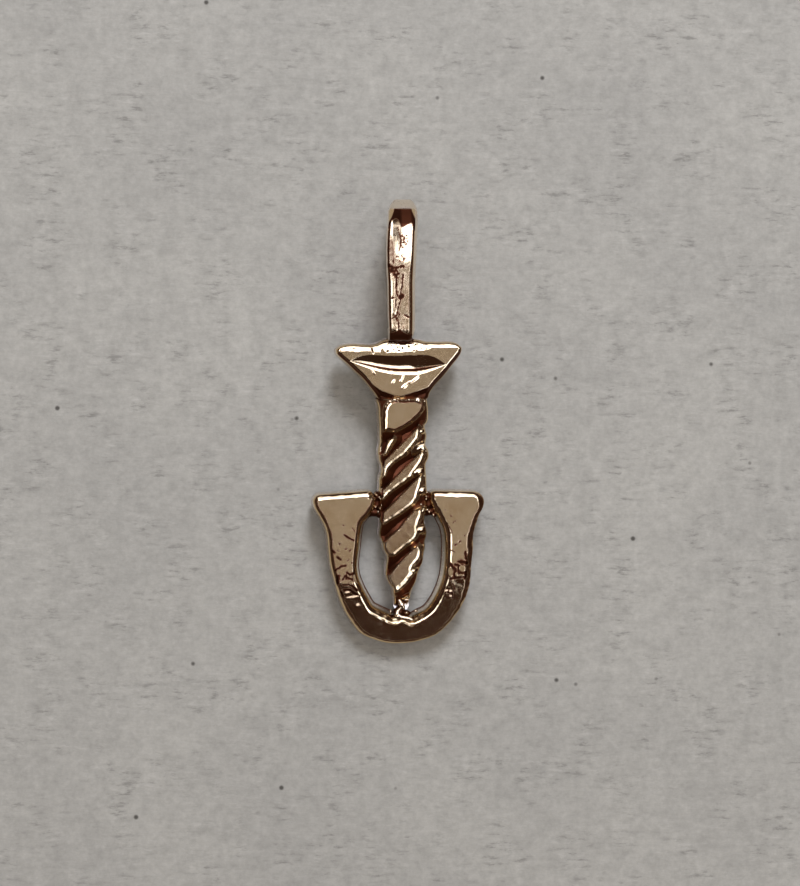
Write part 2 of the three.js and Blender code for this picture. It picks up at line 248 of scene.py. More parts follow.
sheet = bmesh.new()
bmesh.ops.create_grid(sheet, x_segments=1, y_segments=1, size=0.25)
sheet_mesh = bpy.data.meshes.new("paper")
sheet.to_mesh(sheet_mesh)
sheet.free()
paper = placed("paper", sheet_mesh)
paper_look = new_look("pale paper")
fibre = Nodes(paper_look.node_tree)
spot = fibre.add("ShaderNodeTexCoord").outputs["Object"]
brushed = fibre.made("ShaderNodeMapping", Vector=spot, Scale=(0.3, 1, 1), Rotation=(0, 0, 0.1))
cracks = fibre.speckle(brushed, 3000, 6, Roughness=0.68)
patches = fibre.speckle(spot, 420, 3)
clouds = fibre.ramp(fibre.speckle(spot, 90, 4), [(0.35, 0), (0.65, 1)])
tone = fibre.mix(clouds, (0.392, 0.386, 0.377, 1), (0.434, 0.427, 0.414, 1))
for scale, coarseness, stops in (
    (950, 0.62, [(0.32, 0.9), (0.5, 1), (0.68, 1.08)]),
    (2600, 0.7, [(0.25, 0.87), (0.5, 1), (0.75, 1.12)]),
):
    blotches = fibre.ramp(fibre.speckle(spot, scale, 5, Roughness=coarseness), stops)
    tone = fibre.mix(1, tone, blotches, "MULTIPLY")
for crack_stops, patch_stops, line_tone in (
    ([(0.36, 1), (0.47, 0)], [(0.46, 0), (0.62, 0.55)], (0.17, 0.165, 0.16, 1)),
    ([(0.56, 0), (0.66, 1)], [(0.4, 0), (0.6, 0.45)], (0.55, 0.54, 0.53, 1)),
):
    where = fibre.ramp(patches, patch_stops)
    lines = fibre.math("MULTIPLY", fibre.ramp(cracks, crack_stops), where)
    tone = fibre.mix(lines, tone, line_tone)
off_speck = fibre.add("ShaderNodeTexVoronoi", Vector=spot, Scale=310).outputs["Distance"]
specks = fibre.ramp(off_speck, [(0.025, 0.9), (0.055, 0)])
tone = fibre.mix(specks, tone, (0.07, 0.065, 0.06, 1))
relief = fibre.bump(0.3, 0.00006, cracks)
fibre.shade(Base_Color=tone, Normal=relief, Roughness=0.9, Specular_IOR_Level=0.2)
paper.data.materials.append(paper_look)


# Horseshoe plate
# A flat horseshoe of cast gold, 1.3 mm thick, with two legs that flare into square ends. Its walls
# lean out to a flat back, its face edges are rounded by polishing, and the bow's face falls away.


def hundredths(columns, *numbers):
    """Rows of places and sizes in millimetres, from numbers in hundredths of a millimetre."""
    return np.reshape(numbers, (-1, columns)) / 100


plate_thickness = 1.3
hole_middle = np.array([0, 4.8])
leg_outer = hundredths(
    2, -462, 847, -482, 838, -490, 820, -486, 791, -454, 728, -428, 680, -411, 627, -402, 538, -389,
    438, -370, 366, -352, 299, -320, 210, -270, 123, -207, 47, -145, 16, -51, -10, 30, -11, 136, 7,
    217, 39, 280, 95, 342, 177, 381, 252, 403, 327, 413, 449, 421, 535, 425, 634, 442, 691, 456,
    735, 480, 784, 483, 820, 466, 850, 430, 864,
)
leg_inner = hundredths(
    2, -185, 868, -162, 863, -151, 845, -160, 791, -187, 741, -231, 685, -241, 640, -252, 538, -261,
    417, -250, 360, -230, 310, -200, 248, -166, 190, -120, 162, -80, 142, -40, 122, 17, 130, 80,
    116, 120, 138, 167, 164, 210, 221, 242, 290, 264, 355, 279, 460, 280, 550, 276, 622, 266, 662,
    242, 712, 202, 785, 180, 835, 185, 862, 205, 869,
)


def flowing(points, t):
    """Places at key shares t along a smooth line that passes through the points."""
    keys = np.asarray(points)
    gaps = np.maximum(np.linalg.norm(np.diff(keys, axis=0), axis=1), 1e-6)
    slopes = np.diff(keys, axis=0) / gaps[:, None]
    lean = np.vstack([
        slopes[:1],
        (slopes[:-1] * gaps[1:, None] + slopes[1:] * gaps[:-1, None])
        / (gaps[1:] + gaps[:-1])[:, None],
        slopes[-1:],
    ])
    t = np.clip(t, 0, len(keys) - 1 - 1e-9)
    i = t.astype(int)
    s = (t - i)[:, None]
    gap = gaps[i][:, None]
    return (
        (2 * s**3 - 3 * s**2 + 1) * keys[i] + (s**3 - 2 * s**2 + s) * gap * lean[i]
        + (3 * s**2 - 2 * s**3) * keys[i + 1] + (s**3 - s**2) * gap * lean[i + 1]
    )


def between(left, right, length_step, columns):
    """A grid of places: rows run from a line of points on the left to one on the right, and its
    columns stand closer together near both.
    """
    fine = np.linspace(0, len(left) - 1, 40 * len(left))
    both = [flowing(line, fine) for line in (left, right)]
    run = np.max([np.linalg.norm(np.diff(line, axis=0), axis=1) for line in both], axis=0)
    total = np.concatenate([[0], np.cumsum(run)])
    t = np.interp(np.linspace(0, total[-1], int(total[-1] / length_step) + 2), total, fine)
    a, b = flowing(left, t), flowing(right, t)
    share = np.linspace(0, 1, columns)
    share -= 0.055 * np.sin(2 * np.pi * share)
    return a[:, None] * (1 - share)[None, :, None] + b[:, None] * share[None, :, None]


def rim_of(rows):
    """Indices of a grid's edge, once round."""
    tall, wide = rows.shape[:2]
    number = np.arange(tall * wide).reshape(tall, wide)
    return np.concatenate([number[0, :-1], number[:-1, -1], number[-1, :0:-1], number[:0:-1, 0]])


def smoothed(loop, width):
    """A closed line of values averaged along itself over width neighbours."""
    reach = 3 * width
    weight = np.exp(-0.5 * (np.arange(-reach, reach + 1) / width) ** 2)
    weight /= weight.sum()
    out = np.zeros_like(loop)
    for shift, w in zip(range(-reach, reach + 1), weight):
        out += w * np.roll(loop, shift, axis=0)
    return out


def ripple(places, size, seed, octaves=2):
    """Smooth unevenness of about -1 to 1, its bumps about size millimetres apart."""
    spots = (Vector((x / size, y / size, seed)) for x, y in places)
    return np.array([noise.fractal(spot, 1, 2, octaves) for spot in spots])


def roll(inside, dark, bright):
    """How far a polished face drops at a distance inside its edge: a soft turn over the width
    bright, then a steeper one over the width dark.
    """
    soft = np.clip(dark + bright - inside, 0, bright)
    hard = np.clip(dark - inside, 0, dark)
    return 0.06 * soft + 0.11 * soft**2 / bright + 0.42 * hard + 0.215 * hard**2 / dark


def grown(value, full):
    """A share that grows from 0 where a value is 0 to 1 where it is full."""
    return np.clip(value / full, 0, 1)


def by_side(facing, *sides):
    """A value for each place from the way its nearest edge faces: sides gives degrees round from
    the right, and the value there.
    """
    turn = np.degrees(np.arctan2(facing[:, 1], facing[:, 0])) % 360
    return np.interp(turn, *zip(*sides), period=360)


def give(mesh, name, values):
    """Stores a value for each corner of a mesh."""
    mesh.attributes.new(name, "FLOAT", "POINT").data.foreach_set("value", values)


def piece_of(name, mesh, look, node):
    """Lays a finished mesh where the charm lies and gives it to the frame."""
    made = placed(name, mesh)
    mesh.materials.clear()
    mesh.materials.append(look)
    for face in mesh.polygons:
        face.use_smooth = True
    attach(made, "root")
    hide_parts(node)


# The casting's wall: shares of its lean, and of its height from the face, at each ring of corners.
# Painted shade darkens hollows of the face and the rings of the wall's foot, more of it under a
# wall that leans out far.
wall_rings = (
    (0.18, 0.03), (0.36, 0.09), (0.52, 0.2), (0.65, 0.42), (0.77, 0.7), (0.86, 0.93), (0.9, 0.95),
    (0.98, 0.953), (1, 0.97), (0.97, 1),
)
foot_rings = (6, 7, 8)
far_lean, far_dark, near_dark = 0.25, 0.9, 0.42
hollow_depth, hollow_dark, hollow_reach = 0.06, 0.76, 10
first_wall_ring = 3
edge_smoothing = 3
sharp_from = math.radians(24)


def casting(name, node, rows, face, draft, floor):
    """Casts a closed piece: a face over a grid of places, walls that lean out by draft, and a back
    at the height of floor. The face gives each place a height and a share of painted shade.
    """
    tall, wide = rows.shape[:2]
    flat = rows.reshape(-1, 2)
    rim = rim_of(rows)
    edge = flat[rim]
    following = np.roll(edge, -1, axis=0)
    parts = 4
    tree = kdtree.KDTree(len(edge) * parts)
    for part in range(parts):
        for number, (x, y) in enumerate(edge + (following - edge) * part / parts):
            tree.insert((x, y, 0), number)
    tree.balance()
    heading_on = following - np.roll(edge, 1, axis=0)
    area = np.sum(edge[:, 0] * following[:, 1] - edge[:, 1] * following[:, 0])
    outward = np.stack([heading_on[:, 1], -heading_on[:, 0]], axis=1) * np.sign(area)
    outward /= np.linalg.norm(outward, axis=1)[:, None] + 1e-9
    outward = smoothed(outward, edge_smoothing)
    found = [tree.find((x, y, 0)) for x, y in flat]
    inside = np.array([hit[2] for hit in found])
    inside[rim] = 0
    facing = outward[[hit[1] for hit in found]]
    height, face_shade = face(flat, inside, facing)
    lean_out = draft(edge, outward)
    foot = smoothed(edge + outward * lean_out[:, None], edge_smoothing)
    points = [np.column_stack([flat, height])]
    for share, low in wall_rings:
        ring = edge + (foot - edge) * share
        points.append(np.column_stack([ring, height[rim] + (floor(edge) - height[rim]) * low]))
    places = laid(np.concatenate(points))
    mesh = bpy.data.meshes.new(name)
    number = np.arange(tall * wide).reshape(tall, wide)
    quads = np.stack([number[:-1, :-1], number[:-1, 1:], number[1:, 1:], number[1:, :-1]], axis=-1)
    faces = quads.reshape(-1, 4).tolist()
    starts = [tall * wide + ring * len(rim) for ring in range(len(wall_rings))]
    rings = [rim] + [start + np.arange(len(rim)) for start in starts]
    for upper, lower in zip(rings, rings[1:]):
        faces += np.stack([upper, lower, np.roll(lower, -1), np.roll(upper, -1)], axis=1).tolist()
    faces.append(rings[-1].tolist())
    mesh.from_pydata(places.tolist(), [], faces)
    body = bmesh.new()
    body.from_mesh(mesh)
    bmesh.ops.recalc_face_normals(body, faces=body.faces)
    bmesh.ops.triangulate(body, faces=[f for f in body.faces if len(f.verts) > 4])
    body.to_mesh(mesh)
    body.free()
    mesh.set_sharp_from_angle(angle=sharp_from)
    level = height.reshape(tall, wide)
    around = level
    for _ in range(hollow_reach):
        padded = np.pad(around, 1, mode="edge")
        around = sum(padded[a:a + tall, b:b + wide] for a in range(3) for b in range(3)) / 9
    painted_shade = np.zeros(len(mesh.vertices))
    # painted shade: places lower than their surroundings darken, and so do the rings of the wall's
    # foot
    hollow = np.clip((around - level) / hollow_depth, 0, hollow_dark).reshape(-1)
    painted_shade[:tall * wide] = np.maximum(hollow, face_shade)
    for ring in foot_rings:
        foot_dark = np.where(lean_out > far_lean, far_dark, near_dark)
        painted_shade[starts[ring]:starts[ring] + len(rim)] = foot_dark
    give(mesh, "painted_shade", painted_shade)
    give(mesh, "wall", (np.arange(len(mesh.vertices)) >= starts[first_wall_ring]).astype(float))
    piece_of(name, mesh, cast_look, node)


def flat_back(edge):
    return np.zeros(len(edge))


def gold(name, tone, deep_tone, polish, unevenness=0.12):
    """Polished yellow gold: mottled in tone and shine, with fine tool marks and dents. It is
    darkened by painted shade and painted dark reflections as its painted_shade share says, is
    duller and gets a pale painted reflection of the paper on a wall, and is puckered by its
    crinkle.
    """
    look = new_look(name)
    make = Nodes(look.node_tree)
    place = make.add("ShaderNodeTexCoord").outputs["Object"]
    clouds = make.ramp(make.speckle(place, 900, 3), [(0.38, 0), (0.66, 1)])
    fine = make.speckle(place, 5200, 4, Roughness=0.6)
    painted_shade, wall = make.stored("painted_shade"), make.stored("wall")
    # painted shade: the stored share darkens the colour to red-brown and near black, standing in
    # for shade and dark reflections
    dark = make.ramp(painted_shade, [(0.1, 0), (0.7, 1)])
    darkest = make.ramp(painted_shade, [(0.75, 0), (1, 1)])
    colour = make.mix(clouds, (*tone, 1), (*deep_tone, 1))
    # painted reflection: walls are mixed towards pale beige, as if they reflected the lit paper
    colour = make.mix(make.math("MULTIPLY", wall, 0.85), colour, (0.93, 0.85, 0.75, 1))
    colour = make.mix(dark, colour, (0.14, 0.044, 0.02, 1))
    colour = make.mix(darkest, colour, (0.035, 0.011, 0.005, 1))
    metallic = make.math("SUBTRACT", 1, make.math("MULTIPLY", dark, 0.2))
    shine = make.ramp(fine, [(0.3, polish * 0.7), (0.7, polish * 1.5)])
    dull = make.math("ADD", make.math("MULTIPLY", dark, 0.22), make.math("MULTIPLY", wall, 0.14))
    roughness = make.math("ADD", shine, dull)
    marks = make.bump(unevenness, 0.00004, make.speckle(place, 1500, 2))
    marks = make.bump(unevenness, 0.000008, fine, Normal=marks)
    puckers = make.speckle(place, 8000, 2)
    marks = make.bump(make.stored("crinkle"), 0.000014, puckers, Normal=marks)
    make.shade(
        Base_Color=colour, Metallic=metallic, Roughness=roughness, Normal=marks,
        Specular_IOR_Level=0,
    )
    return look


cast_look = gold("cast gold", (0.84, 0.64, 0.37), (0.77, 0.56, 0.3), 0.1)

# Pits left in the face by the casting, x, y and radius, and scratches from the tools, x, y to x, y.
plate_pits = hundredths(
    3, -391, 590, 7, -347, 569, 7, -310, 540, 7, -287, 531, 8, -298, 475, 6, -276, 460, 6, -325,
    675, 5.5, -356, 529, 5, 319, 562, 9, 343, 579, 8.5, 258, 763, 4, 292, 728, 6, 371, 616, 5, 290,
    630, 5, -416, 644, 6,
)
plate_scratches = hundredths(
    4, -275, 660, -260, 640, 278, 675, 300, 632, 320, 700, 305, 690, 285, 535, 315, 520, -390, 375,
    -370, 390,
)
# Ragged strokes of painted dark reflection where the face turns over into the bow, in hundredths of
# a
# millimetre: half width, then corners as x, y, x, y ...
bow_dark_strokes = [
    (4.5, -319, 621, -299, 606, -267, 590), (5, -361, 494, -341, 480),
    (5, -313, 445, -338, 440, -373, 417), (5, -304, 405, -287, 391, -264, 402, -255, 442),
    (5, -327, 365, -315, 385, -292, 370, -272, 368), (4, -307, 391, -309, 368),
    (5.5, -321, 336, -292, 339, -269, 324, -246, 301), (9, -355, 385, -361, 345),
    (5, -321, 304, -286, 307, -263, 281), (6, -388, 532, -376, 520), (5, -275, 298, -235, 269),
    (5, -326, 270, -338, 293), (9, 343, 466, 383, 460), (7, 291, 452, 303, 434, 320, 420, 314, 376),
    (5, 317, 449, 340, 443, 334, 423, 340, 397, 369, 402), (8, 378, 411, 375, 370),
    (5, 289, 365, 329, 371, 369, 379), (6, 376, 520, 380, 480), (4.5, 277, 287, 303, 281, 306, 255),
    (3.5, 306, 336, 318, 301),
]
# Little flats among them that lie level: x, y, half length, half width and turn in radians.
plate_flats = hundredths(
    5, -309, 350, 30, 10, 10, -252, 367, 24, 11, -110, -281, 345, 12, 7, 30, -301, 291, 17, 5, 10,
    -272, 264, 34, 6, 10, -240, 218, 10, 8, 0, 359, 425, 15, 17, 10, 291, 405, 11, 26, 10, 352, 386,
    17, 5.5, 10, 327, 391, 6, 10, 10, 269, 298, 10, 6, 0, 293, 296, 9, 7, 0, 294, 267, 8, 6, 0,
)


def off_oval(places, x, y, long, short, turn):
    """Distance from an oval's middle, its edge counted as one."""
    dx, dy = places.T - [[x], [y]]
    along_it = (dx * math.cos(turn) + dy * math.sin(turn)) / long
    across_it = (dy * math.cos(turn) - dx * math.sin(turn)) / short
    return np.hypot(along_it, across_it)


def blot(places, *oval):
    """One at the middle of an oval, fading to none at its edge."""
    return np.exp(-off_oval(places, *oval) ** 3)


def nearest_on(line, places):
    """Distance from each place to a line through corners, and the nearest spot on it."""
    nearest = np.full(len(places), 1e9)
    foot = np.zeros_like(places)
    for a, run in zip(line, np.diff(line, axis=0)):
        share = np.clip(((places - a) @ run) / (run @ run), 0, 1)
        hit = a + share[:, None] * run
        gap = np.linalg.norm(places - hit, axis=1)
        closer = gap < nearest
        nearest[closer], foot[closer] = gap[closer], hit[closer]
    return nearest, foot


def from_line(places, *corners):
    """Distance from each place to a line through corners given as x, y, x, y ..."""
    return nearest_on(np.reshape(corners, (-1, 2)), places)[0]


def towards_hole(places, outward, top):
    """Which places face the middle of the horseshoe, below its open top."""
    return (np.sum((hole_middle - places) * outward, axis=1) > 0) & (places[:, 1] < top)


# Widths of the dark and the bright roll of the edges and the share of painted shade on them, by
# the way that they face in degrees: first the edges of the hole, then the outer ones.
plate_sides = (
    (((0, 0.1), (45, 0.1), (90, 0.13), (135, 0.12), (180, 0.1), (215, 0.15), (315, 0.15)),
     ((0, 0.34), (40, 0.32), (90, 0.15), (135, 0.2), (180, 0.16), (225, 0.14), (320, 0.14))),
    (((0, 0.04), (45, 0.1), (90, 0.16), (135, 0.14), (180, 0.13), (205, 0.03), (325, 0.02)),
     ((0, 0.05), (60, 0.12), (90, 0.13), (130, 0.08), (180, 0.018), (225, 0.01), (320, 0.015))),
    (((0, 0.4), (30, 0), (200, 0), (230, 0.9), (320, 0.95), (345, 0.9)),
     ((0, 0.7), (40, 0.3), (60, 0), (130, 0), (160, 0.9), (215, 0.9), (330, 0.9))),
)


def plate_face(places, inside, facing):
    x, y = places.T
    # the bow falls away below a ragged line that lies lower on the left
    ragged = 0.12 * ripple(places, 0.5, 21) + 0.27 - 0.065 * x
    edge_of_fall = y + ragged * np.interp(y, [2.5, 3.3], [0.1, 1])
    fall = np.interp(edge_of_fall, [-0.3, 2.3, 3.3, 3.9], [0.52, 0.18, 0.055, 0])
    height = plate_thickness - fall + 0.006 * ripple(places, 1.1, 3)
    lower = np.interp(y, [0.2, 1.5, 3.4, 4.4], [0.4, 1, 1, 0])
    height += 0.0016 * lower * ripple(places, 0.35, 8)
    # its edges are rolled over by the widths dark and bright, and the dark roll gets some painted
    # shade
    inner = towards_hole(places, facing, 8.3)
    wavy = 1 + 0.22 * ripple(places, 0.5, 14)
    dark, bright, edge_shade = (
        np.where(inner, by_side(facing, *of_hole), by_side(facing, *of_outside))
        for of_hole, of_outside in plate_sides
    )
    height -= roll(inside, dark * wavy, bright * wavy)
    face_shade = edge_shade * np.clip(1 - np.abs(inside - dark * wavy) / 0.06, 0, 1)
    # pits and scratches are sunk a little and painted dark with shade
    for mx, my, size in plate_pits:
        pit = blot(places, mx, my, size * 1.25, size * 0.8, mx * 3)
        height -= 0.06 * size * pit
        face_shade = np.maximum(face_shade, pit)
    for line in plate_scratches:
        line_share = np.exp(-(from_line(places, *line) / 0.035) ** 2)
        height -= 0.002 * line_share
        face_shade = np.maximum(face_shade, 0.9 * line_share)
    frayed = 1 + 0.5 * ripple(places, 0.12, 31, 3)
    # ragged strokes of painted dark reflection, with no dent of their own
    for stroke in bow_dark_strokes:
        wide, *line = np.array(stroke) / 100
        stroked = np.clip(1.7 - from_line(places, *line) / (1.25 * wide * frayed), 0, 1)
        face_shade = np.maximum(face_shade, stroked)
    # each flat is set level and painted with a little shade, more of it on the bow, and ringed with
    # dark painted shade
    for fx, fy, long, short, turn in plate_flats:
        near_flat = blot(places, fx, fy, long * 1.25, short * 1.25, turn)
        lump = np.clip((near_flat - 0.45) * 12, 0, 1)
        level = height[np.argmin(np.hypot(x - fx, y - fy))] + 0.004
        tilt, flat_shade = (0, 0.12) if fy > 3.2 else (0.14, 0.42)
        height = np.where(lump > 0, level - tilt * (y - fy), height)
        around_it = np.where(near_flat > 0.2, np.maximum(face_shade, 0.95), face_shade)
        face_shade = np.where(lump > 0, flat_shade, around_it)
    return height, face_shade


def plate_draft(edge, outward):
    outer = by_side(
        outward, (0, 0.04), (90, 0.07), (150, 0.12), (180, 0.16), (225, 0.19), (270, 0.07)
    )
    inner = np.interp(edge[:, 1], [1, 3, 8], [0.45, 0.34, 0.33])
    return np.where(towards_hole(edge, outward, 8.2), inner, outer)


plate_rows = between(leg_outer, leg_inner, 0.036, 74)
casting("horseshoe_plate", "u_plate", plate_rows, plate_face, plate_draft, flat_back)

# Screw shank
# The threaded shank is cast with its head end proud of the plate. Each thread is a level facet with
# a polished lip on its lower side, a long slope down to the next groove and a steep wall up again.
shank_height = 1.44
shank_left = hundredths(
    2, -133, 1398, -120, 1360, -116, 1299, -112, 1239, -110, 1181, -106, 1152, -112, 1117, -116,
    1083, -112, 1048, -98, 1011, -96, 975, -110, 945, -108, 892, -112, 860, -108, 800, -105, 730,
    -102, 678, -106, 610, -92, 580, -86, 535, -68, 505, -66, 430, -66, 372, -50, 338, -32, 312, -28,
    274, -18, 230, -20, 195,
)
shank_right = hundredths(
    2, 145, 1398, 149, 1360, 153, 1310, 150, 1272, 132, 1245, 137, 1215, 144, 1192, 137, 1150, 135,
    1133, 153, 1100, 156, 1068, 140, 1030, 139, 984, 143, 941, 145, 895, 145, 840, 139, 760, 133,
    681, 144, 646, 148, 617, 137, 582, 137, 550, 129, 510, 123, 458, 100, 410, 87, 352, 60, 293, 50,
    258, 42, 230, 42, 195,
)
# The facets' corners, x, y, x, y ... in hundredths of a millimetre
thread_facets = {
    "neck": (
        -78, 1233, -28, 1228, -6, 1240, 53, 1276, 98, 1318, 117, 1345, 122, 1372, 76, 1384, 20,
        1380, -28, 1382, -52, 1372, -68, 1352, -76, 1325,
    ),
    "sliver": (-70, 1162, -46, 1172, -62, 1142, -80, 1110, -90, 1090),
    "first": (
        -88, 1045, 93, 1227, 95, 1210, 90, 1180, 62, 1142, 22, 1092, -29, 1057, -58, 1034, -84, 998,
        -93, 965,
    ),
    "second": (
        -90, 880, -32, 942, 25, 1005, 127, 1097, 119, 1066, 105, 1038, 72, 992, 55, 962, 22, 936,
        -6, 916, -34, 896, -72, 867, -100, 833,
    ),
    "third": (
        -94, 747, -31, 808, 26, 870, 83, 927, 117, 958, 105, 910, 90, 862, 84, 832, 66, 808, 34,
        780, -5, 752, -44, 725, -74, 708, -92, 693,
    ),
    "fourth": (
        -100, 562, -59, 606, -2, 657, 27, 697, 55, 731, 86, 760, 113, 764, 110, 736, 96, 701, 88,
        668, 92, 634, 82, 610, 56, 584, 22, 560, -10, 534, -34, 512, -72, 508,
    ),
    "fifth": (
        -60, 382, -29, 422, -1, 456, 28, 491, 58, 519, 98, 554, 112, 532, 107, 511, 95, 483, 67,
        450, 55, 426, 55, 402, 22, 358, -4, 334, -24, 314, -42, 330,
    ),
}
# Small ridge ends on the right shoulder: x, y, radius
ridge_ends = hundredths(
    3, 114, 1213, 15, 118, 1120, 26, 98, 982, 24, 116, 874, 22, 120, 758, 20, 112, 650, 22, 106,
    544, 16, 74, 412, 16, 44, 262, 10, -36, 266, 8,
)
ridge_turn = math.atan2(0.28, 0.96)
# How a facet's edge falls: distances past its outline and the slopes from there on
plain_edge = ((0, 0), (0.01, 0.75))
neck_edge = ((-0.02, 0), (0, 0.11), (0.1, 0.17), (0.14, 0.75))
thread_edge = ((-0.085, 0), (-0.065, 0.14), (0.055, 0.18), (0.075, 0.75))
last_edge = ((-0.05, 0), (-0.03, 0.13), (0.17, 0.19), (0.21, 0.75))
fall_steps = np.linspace(-1, 3, 1601)


def fallen(gap, edge):
    """How far a facet's edge has fallen at a distance past its outline."""
    falls = np.cumsum(np.interp(fall_steps, *zip(*edge))) * (fall_steps[1] - fall_steps[0])
    return np.interp(gap, fall_steps, falls)


def from_facet(places, corners):
    """Signed distance to a facet, positive outside it, and the direction away from it."""
    x, y = places.T
    outline = np.vstack([corners, corners[:1]])
    gap, foot = nearest_on(outline, places)
    away_from = (places - foot) / (gap[:, None] + 1e-9)
    within = np.zeros(len(places), bool)
    for a, b in zip(outline, outline[1:]):
        if a[1] != b[1]:
            crossed = a[0] + (y - a[1]) * (b[0] - a[0]) / (b[1] - a[1])
            within ^= ((a[1] > y) != (b[1] > y)) & (x < crossed)
    return np.where(within, -gap, gap), np.where(within[:, None], -away_from, away_from)


def shank_face(places, inside, facing):
    x, y = places.T
    # the core that the grooves are cut down to
    middle = np.interp(y, [2, 5, 14], [0.08, 0.35, 0.2])
    half = np.interp(y, [2, 5, 7, 14], [0.35, 1.1, 1.28, 1.38])
    round_share = grown(np.abs(x - middle), half)
    height = shank_height - 0.4 - 0.3 * round_share**2
    height = height - np.interp(y, [2, 3.2, 4.5], [0.35, 0.15, 0])
    # the facets: steep on their upper left, lipped on their lower right, plain at their ends
    uneven = 0.022 * ripple(places, 0.3, 45, 3)
    up_left = np.array([-0.7071, 0.7071])
    wall_slope = np.interp(x, [-1, 0.6, 1.2], [14, 14, 1.3])
    for name, numbers in thread_facets.items():
        corners = hundredths(2, *numbers)
        gap, away_from = from_facet(places, corners)
        gap = gap + uneven
        steep = grown(away_from @ up_left - 0.35, 0.35)
        lipped = grown(away_from @ -up_left - 0.1, 0.3)
        level = shank_height + 0.004 * ripple(places, 0.8, 5)
        lip = fallen(gap, thread_edge)
        if name == "neck":
            steep = 0
            lipped = grown(-away_from[:, 0] - 0.3, 0.3)
            # a band of painted shade along the neck facet's edge
            neck_dark = np.clip(1.4 - np.abs(gap - 0.01) / 0.045, 0, 0.95) * (1 - lipped)
            lip = fallen(gap, neck_edge)
        else:
            mid_y = np.mean(corners[:, 1])
            level = level + np.interp(mid_y, [4, 12], [0.032, 0.056]) * (y - mid_y) - 0.01
        if name == "fifth":
            broad = grown(4.35 - y, 0.25)
            lip = lip * (1 - broad) + fallen(gap, last_edge) * broad
        eased = lip * lipped + fallen(gap, plain_edge) * (1 - lipped)
        drop = eased * (1 - steep) + np.clip(gap, 0, None) * wall_slope * steep
        height = np.maximum(height, level - drop)
    # the sides are rolled over down to a thin flange that the mould left along the upper half
    flange = 0.075 * grown(y - 8.6, 0.3)
    sideways = np.clip(2 * np.abs(facing[:, 0]) - 0.6, 0, 1)
    rim = shank_height + 0.05 - roll(np.maximum(inside, flange), 0.28, 0.02) * sideways
    rim = rim - 0.15 * np.clip(flange - inside, 0, None)
    # painted shade: darker the deeper the face lies, a little over the whole face below the neck,
    # the top under the head, less on the flange
    face_shade = np.clip((shank_height - height - 0.1) / 0.1, np.where(y < 12.3, 0.21, 0), 0.72)
    face_shade = np.maximum(np.maximum(face_shade, neck_dark), grown(y - 13.84, 0.05))
    face_shade = face_shade * np.where(flange > 0, grown(inside - 0.045, 0.03), 1)
    height = np.minimum(height, rim)
    ridge_top = shank_height - 0.03
    for ex, ey, size in ridge_ends:
        out = off_oval(places, ex, ey, 1.3 * size, 0.75 * size, ridge_turn)
        ridge = np.minimum(ridge_top - 0.055 * out**2, ridge_top - roll(inside, 0.07, 0.02))
        face_shade = np.where(ridge > height, 0, face_shade)
        height = np.maximum(height, ridge)
    return height, face_shade


def shank_draft(edge, outward):
    return np.where(outward[:, 0] < 0, 0.15, 0.17)


def shank_under(edge):
    return np.interp(edge[:, 1], [1.9, 2.3, 3.2, 14], [0.75, 0.55, 0.12, 0])


shank_sides = [
    flowing(side, np.linspace(0, len(side) - 1, 90)) for side in (shank_left, shank_right)
]
shank_rows = between(*shank_sides, 0.03, 96)
casting("threaded_shank", "screw_shank", shank_rows, shank_face, shank_draft, shank_under)

# Screw head
# A countersunk wood screw's head seen from the side, cast flat. Its top edge is bevelled towards
# the loop, its slanted sides are rolled over, and a leaf-shaped driver slot is cut across it.
head_height = 1.3
head_low = hundredths(
    2, -364, 1672, -360, 1656, -345, 1640, -306, 1606, -260, 1562, -213, 1518, -170, 1466, -136,
    1422, -124, 1402, -90, 1397, 20, 1397, 120, 1397, 154, 1404, 164, 1433, 188, 1470, 242, 1530,
    295, 1597, 331, 1644, 342, 1664, 346, 1682,
)
head_top = hundredths(
    2, -362, 1680, -348, 1692, -324, 1699, -274, 1704, -230, 1702, -198, 1700, -170, 1699, -126,
    1710, -105, 1722, -80, 1732, 0, 1732, 76, 1733, 110, 1728, 142, 1719, 180, 1718, 225, 1717, 279,
    1719, 315, 1712, 332, 1703, 344, 1692,
)
slot_upper = hundredths(
    2, -290, 1616, -250, 1635, -222, 1644, -176, 1650, -91, 1644, -5, 1644, 52, 1650, 149, 1650,
    190, 1639, 224, 1620, 256, 1597,
)
slot_lower = hundredths(
    2, -290, 1614, -233, 1596, -170, 1577, -119, 1564, -62, 1553, -5, 1548, 81, 1548, 139, 1558,
    196, 1575, 256, 1595,
)
bevel_line = hundredths(
    2, -360, 1670, -172, 1672, -158, 1666, -20, 1664, 150, 1678, 175, 1692, 350, 1694,
)
# Below this line the face is rolled over towards the neck and the slanted sides.
face_low = hundredths(
    2, -350, 1660, -300, 1615, -240, 1558, -159, 1480, -110, 1445, -38, 1420, 0, 1416, 36, 1426,
    100, 1446, 156, 1467, 190, 1510, 250, 1575, 300, 1630, 340, 1675,
)
# Raised streaks on the face, and small pits: x, y, half length, half width, turn in radians, height
# or depth
head_streaks = hundredths(
    6, -156, 1550, 22, 5, -90, 3, -42, 1498, 16, 6, 90, 4, 12, 1522, 22, 5, 120, 4, 22, 1472, 24, 8,
    70, 5, 84, 1512, 36, 6, 65, 4.5, 50, 1495, 10, 5, 30, 4, 0, 1502, 7, 5, 0, 4, -302, 1672, 20,
    12, -40, 4, -240, 1666, 26, 9, 20, 3,
)
head_pits = hundredths(
    6, 10, 1690, 4, 5, 0, 3, 45, 1698, 5, 4, 0, 3, 75, 1675, 4, 4, 0, 3, -10, 1675, 5, 3, 0, 3, -75,
    1672, 7, 4, 80, 4, -162, 1675, 4, 16, 30, 4,
)


